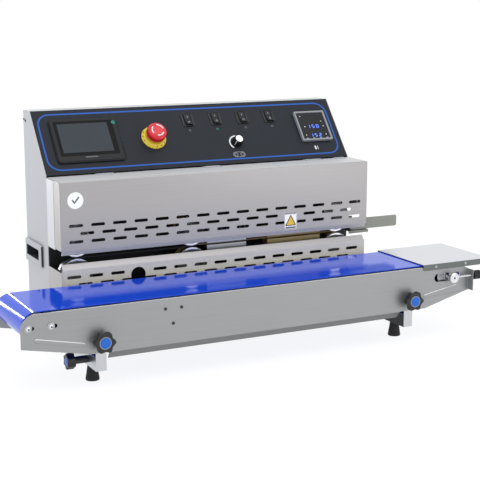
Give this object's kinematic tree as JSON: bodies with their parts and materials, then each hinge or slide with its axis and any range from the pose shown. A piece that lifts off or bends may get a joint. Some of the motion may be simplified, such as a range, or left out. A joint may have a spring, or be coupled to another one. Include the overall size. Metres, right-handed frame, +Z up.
{
  "type": "continuous band sealer",
  "caption": "Bench continuous band sealer: a belt conveyor carries bags past a cabinet whose slotted guards hide heated sealing bands, with a sloping control panel on top.",
  "frame": {"origin": "centre of the machine's bounding box at floor level, under its feet", "axes": "+X along the conveyor from outfeed to infeed tray, +Y away from the operator towards the cabinet's back, +Z up"},
  "size_m": [0.9812, 0.413, 0.4538],
  "materials": {
    "plate_steel": "satin",
    "bright_steel": "brushed",
    "brushed_steel": "brushed",
    "black_paint": "matte",
    "panel_slate": "matte",
    "handle_silver": "satin",
    "black_plastic": "satin",
    "grey_plastic": "satin",
    "red_plastic": "gloss",
    "yellow_plastic": "gloss",
    "rubber": "matte",
    "seal_band": "satin",
    "brass": "satin",
    "aluminium": "satin",
    "motor_grey": "satin",
    "blue_belt": "gloss"
  },
  "bodies": {
    "cabinet": {"base_plate": "plate_steel", "inlet_guide": "plate_steel", "side_panel_left": "bright_steel", "side_panel_right": "bright_steel", "guard_frame": "bright_steel", "guard_hinge": "bright_steel", "back_panel": "brushed_steel", "lower_guard": "brushed_steel", "mounting_wall": "black_paint", "control_panel": "panel_slate", "handle_left": "handle_silver", "handle_right": "handle_silver", "power_inlet": "black_plastic", "hmi_unit": "black_plastic", "switch_bank": "black_plastic", "temp_controller": "grey_plastic", "estop_collar": "yellow_plastic", "rear_foot_left": "rubber", "rear_foot_right": "rubber", "guide_belt_upper": "rubber", "guide_belt_lower": "rubber", "seal_band_upper": "seal_band", "seal_band_lower": "seal_band", "heater_upper": "brass", "heater_lower": "brass", "cooler_upper": "aluminium", "cooler_lower": "aluminium", "drive_motor": "motor_grey"},
    "upper_guard": {"upper_guard": "brushed_steel"},
    "estop_plunger": {"estop_plunger": "black_plastic"},
    "estop_head": {"estop_head": "red_plastic"},
    "speed_knob": {"speed_knob": "black_plastic"},
    "slide_frame": {"rail_left": "brushed_steel", "rail_right": "brushed_steel", "front_foot_left": "rubber", "front_foot_right": "rubber"},
    "conveyor": {"conveyor_plate_near": "plate_steel", "conveyor_plate_far": "plate_steel", "bed_plate": "brushed_steel", "conveyor_belt": "blue_belt", "tray": "bright_steel", "conveyor_motor": "motor_grey"},
    "outfeed_roller": {"outfeed_roller": "aluminium"},
    "tail_axle": {"tail_axle": "bright_steel"},
    "tail_roller": {"tail_roller": "aluminium"},
    "takeup_screw_near": {"takeup_screw_near": "black_plastic"},
    "takeup_screw_far": {"takeup_screw_far": "black_plastic"},
    "star_knob_front_left": {"star_knob_front_left": "black_plastic"},
    "star_knob_front_right": {"star_knob_front_right": "black_plastic"},
    "star_knob_side": {"star_knob_side": "black_plastic"},
    "rocker_1": {"rocker_1": "black_plastic"},
    "rocker_2": {"rocker_2": "black_plastic"},
    "rocker_3": {"rocker_3": "black_plastic"},
    "rocker_4": {"rocker_4": "black_plastic"},
    "wheel_outfeed_upper": {"wheel_outfeed_upper": "bright_steel"},
    "wheel_outfeed_lower": {"wheel_outfeed_lower": "bright_steel"},
    "wheel_middle_upper": {"wheel_middle_upper": "bright_steel"},
    "wheel_middle_lower": {"wheel_middle_lower": "bright_steel"},
    "wheel_infeed_upper": {"wheel_infeed_upper": "bright_steel"},
    "wheel_infeed_lower": {"wheel_infeed_lower": "bright_steel"}
  },
  "joints": [
    {"name": "guard_lift", "type": "hinge", "parent": "cabinet", "child": "upper_guard", "pos_m": [-0.0239, 0.067, 0.3347], "axis": [-1, 0, 0], "range_deg": [0, 80]},
    {"name": "estop_press", "type": "slide", "parent": "cabinet", "child": "estop_plunger", "axis": [0, 0.779, -0.627], "range_m": [0, 0.005]},
    {"name": "estop_twist", "type": "hinge", "parent": "estop_plunger", "child": "estop_head", "pos_m": [-0.1179, 0.10044, 0.40735], "axis": [0, 0.779, -0.627], "range_deg": [0, 45], "stiffness_Nm_per_rad": 0.3},
    {"name": "rocker_1_tilt", "type": "hinge", "parent": "cabinet", "child": "rocker_1", "pos_m": [-0.0319, 0.13907, 0.42568], "axis": [1, 0, 0], "range_deg": [0, 16]},
    {"name": "rocker_2_tilt", "type": "hinge", "parent": "cabinet", "child": "rocker_2", "pos_m": [0.0301, 0.13907, 0.42568], "axis": [1, 0, 0], "range_deg": [0, 16]},
    {"name": "rocker_3_tilt", "type": "hinge", "parent": "cabinet", "child": "rocker_3", "pos_m": [0.0921, 0.13907, 0.42568], "axis": [1, 0, 0], "range_deg": [0, 16]},
    {"name": "rocker_4_tilt", "type": "hinge", "parent": "cabinet", "child": "rocker_4", "pos_m": [0.1541, 0.13907, 0.42568], "axis": [1, 0, 0], "range_deg": [0, 16]},
    {"name": "speed_turn", "type": "hinge", "parent": "cabinet", "child": "speed_knob", "pos_m": [0.0606, 0.09864, 0.3812], "axis": [0, -0.779, 0.627], "range_deg": [-140, 140]},
    {"name": "outfeed_upper_spin", "type": "hinge", "parent": "cabinet", "child": "wheel_outfeed_upper", "pos_m": [-0.3204, 0.0235, 0.2235], "axis": [0, 1, 0], "continuous": true},
    {"name": "outfeed_lower_spin", "type": "hinge", "parent": "cabinet", "child": "wheel_outfeed_lower", "pos_m": [-0.3204, 0.0235, 0.1585], "axis": [0, 1, 0], "continuous": true},
    {"name": "middle_upper_spin", "type": "hinge", "parent": "cabinet", "child": "wheel_middle_upper", "pos_m": [-0.0844, 0.0235, 0.2235], "axis": [0, 1, 0], "continuous": true},
    {"name": "middle_lower_spin", "type": "hinge", "parent": "cabinet", "child": "wheel_middle_lower", "pos_m": [-0.0844, 0.0235, 0.1585], "axis": [0, 1, 0], "continuous": true},
    {"name": "infeed_upper_spin", "type": "hinge", "parent": "cabinet", "child": "wheel_infeed_upper", "pos_m": [0.2446, 0.0235, 0.2235], "axis": [0, 1, 0], "continuous": true},
    {"name": "infeed_lower_spin", "type": "hinge", "parent": "cabinet", "child": "wheel_infeed_lower", "pos_m": [0.2446, 0.0235, 0.1585], "axis": [0, 1, 0], "continuous": true},
    {"name": "conveyor_depth", "type": "slide", "parent": "cabinet", "child": "slide_frame", "axis": [0, 1, 0], "range_m": [-0.05, 0]},
    {"name": "conveyor_height", "type": "slide", "parent": "slide_frame", "child": "conveyor", "axis": [0, 0, 1], "range_m": [0, 0.025]},
    {"name": "outfeed_spin", "type": "hinge", "parent": "conveyor", "child": "outfeed_roller", "pos_m": [-0.4606, -0.1025, 0.121], "axis": [0, 1, 0], "continuous": true},
    {"name": "tail_tension", "type": "slide", "parent": "conveyor", "child": "tail_axle", "axis": [1, 0, 0], "range_m": [-0.005, 0]},
    {"name": "tail_spin", "type": "hinge", "parent": "tail_axle", "child": "tail_roller", "pos_m": [0.3936, -0.1025, 0.121], "axis": [0, 1, 0], "continuous": true},
    {"name": "takeup_near_turn", "type": "hinge", "parent": "conveyor", "child": "takeup_screw_near", "pos_m": [0.4436, -0.1935, 0.121], "axis": [1, 0, 0], "range_deg": [-1800, 0]},
    {"name": "takeup_far_turn", "type": "hinge", "parent": "conveyor", "child": "takeup_screw_far", "pos_m": [0.4436, -0.0115, 0.121], "axis": [1, 0, 0], "range_deg": [-1800, 0]},
    {"name": "front_left_knob_turn", "type": "hinge", "parent": "conveyor", "child": "star_knob_front_left", "pos_m": [-0.3474, -0.1965, 0.085], "axis": [0, -1, 0], "range_deg": [0, 360]},
    {"name": "front_right_knob_turn", "type": "hinge", "parent": "conveyor", "child": "star_knob_front_right", "pos_m": [0.2966, -0.1965, 0.085], "axis": [0, -1, 0], "range_deg": [0, 360]},
    {"name": "side_knob_turn", "type": "hinge", "parent": "slide_frame", "child": "star_knob_side", "pos_m": [-0.3864, -0.1415, 0.042], "axis": [-1, 0, 0], "range_deg": [0, 360]}
  ],
  "couplings": [
    {"joint": "outfeed_upper_spin", "follows": "infeed_upper_spin", "ratio": 1},
    {"joint": "outfeed_lower_spin", "follows": "infeed_upper_spin", "ratio": -1},
    {"joint": "middle_upper_spin", "follows": "infeed_upper_spin", "ratio": 1},
    {"joint": "middle_lower_spin", "follows": "infeed_upper_spin", "ratio": -1},
    {"joint": "infeed_lower_spin", "follows": "infeed_upper_spin", "ratio": -1},
    {"joint": "tail_spin", "follows": "outfeed_spin", "ratio": 1},
    {"joint": "takeup_near_turn", "follows": "tail_tension", "rad_per_m": 6283},
    {"joint": "takeup_far_turn", "follows": "tail_tension", "rad_per_m": 6283}
  ]
}
